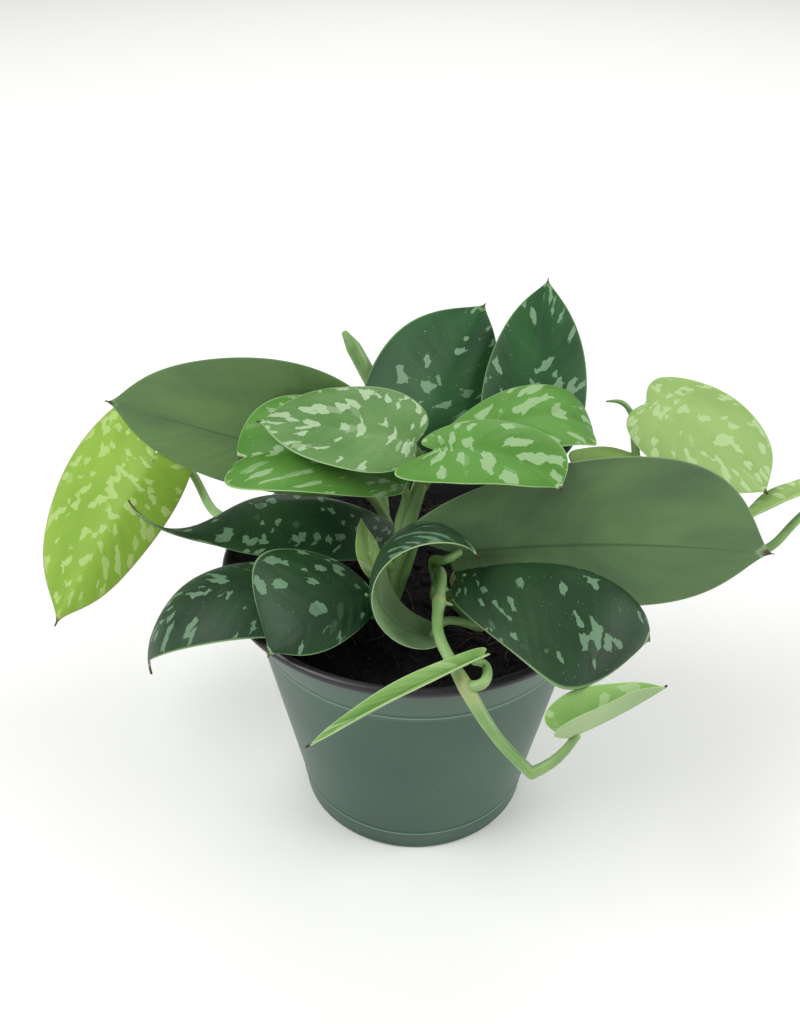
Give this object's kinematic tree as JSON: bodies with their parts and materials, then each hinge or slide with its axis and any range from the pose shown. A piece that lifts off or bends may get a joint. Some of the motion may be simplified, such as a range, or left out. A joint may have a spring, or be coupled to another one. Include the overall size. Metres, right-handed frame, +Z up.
{
  "type": "potted pothos",
  "caption": "Satin pothos with spotted heart-shaped leaves on short vines, growing in a round tapered green nursery pot filled with soil.",
  "frame": {"origin": "centre of the pot's flat base, on the surface it stands on", "axes": "+Z up along the pot's axis, -Y towards the camera side, +X to the camera's right"},
  "size_m": [0.2394, 0.1351, 0.1518],
  "materials": {
    "leaf_dark": "satin dark green blade with silver spots",
    "leaf_light": "satin light green blade with silver blotches",
    "leaf_lime": "satin lime green blade with pale blotches",
    "stem": "smooth green stem",
    "pot": "thin moulded green plastic with a soft sheen",
    "soil": "dark fibrous potting soil"
  },
  "bodies": {
    "root": {"leaf_back_left": "leaf_dark", "leaf_back_tall_left": "leaf_dark", "leaf_back_tall_right": "leaf_dark", "leaf_behind_lime": "leaf_lime", "leaf_big_right": "leaf_dark", "leaf_far_left": "leaf_lime", "leaf_far_right": "leaf_light", "leaf_front_left": "leaf_dark", "leaf_front_narrow": "leaf_light", "leaf_front_small": "leaf_light", "leaf_left_curled": "leaf_dark", "leaf_lower_left": "leaf_dark", "leaf_right_dark": "leaf_dark", "leaf_right_light": "leaf_light", "leaf_rolled": "leaf_dark", "leaf_second_left": "leaf_light", "leaf_second_right": "leaf_light", "leaf_top_left": "leaf_light", "leaf_top_right": "leaf_light", "leaf_young": "leaf_light", "vine_main": "stem", "vine_left": "stem", "vine_right": "stem", "vine_front": "stem", "pot": "pot", "soil": "soil"}
  },
  "joints": []
}
